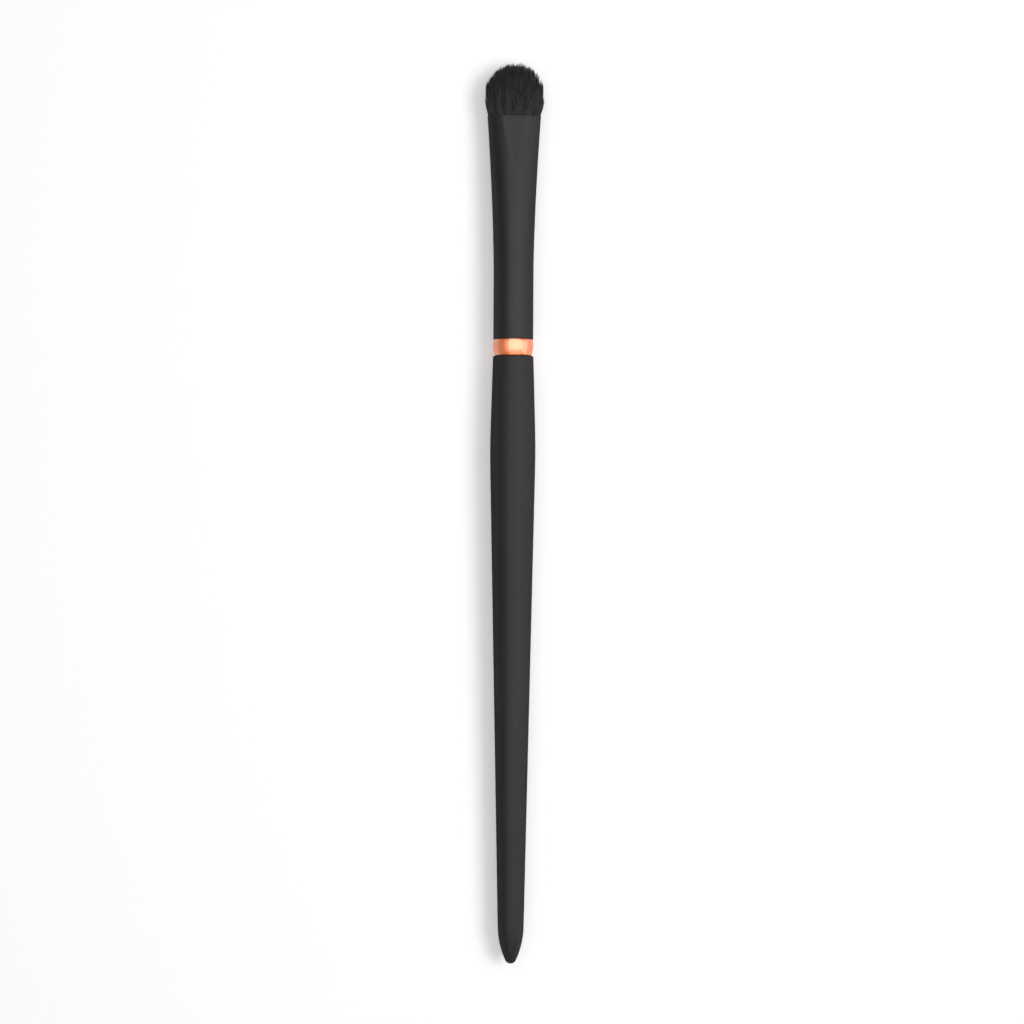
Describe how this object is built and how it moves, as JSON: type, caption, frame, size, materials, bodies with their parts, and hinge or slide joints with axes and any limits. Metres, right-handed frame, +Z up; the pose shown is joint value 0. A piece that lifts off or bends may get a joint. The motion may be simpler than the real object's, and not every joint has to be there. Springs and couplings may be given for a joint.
{
  "type": "eyeshadow brush",
  "caption": "Slim makeup brush with a tapered round handle, a polished collar ring and a pressed metal ferrule that holds a small domed oval tuft for laying on and blending eyeshadow.",
  "frame": {"origin": "on the surface that the brush lies on, under the middle of its length and width", "axes": "+Y along the brush from the handle's tip to the bristles, +Z up through the thin side of the oval mouth, +X across its broad side"},
  "size_m": [0.0115, 0.18, 0.009],
  "materials": {
    "handle_lacquer": "matte",
    "ring_metal": "polished",
    "ferrule_metal": "satin",
    "fibres": "satin",
    "binding_thread": "matte",
    "root_adhesive": "satin",
    "handle_adhesive": "satin"
  },
  "bodies": {
    "root": {"handle": "handle_lacquer", "collar_ring": "ring_metal", "ferrule": "ferrule_metal", "bristle_tuft": "fibres", "root_tie": "binding_thread", "root_glue": "root_adhesive", "handle_glue": "handle_adhesive"}
  },
  "joints": []
}
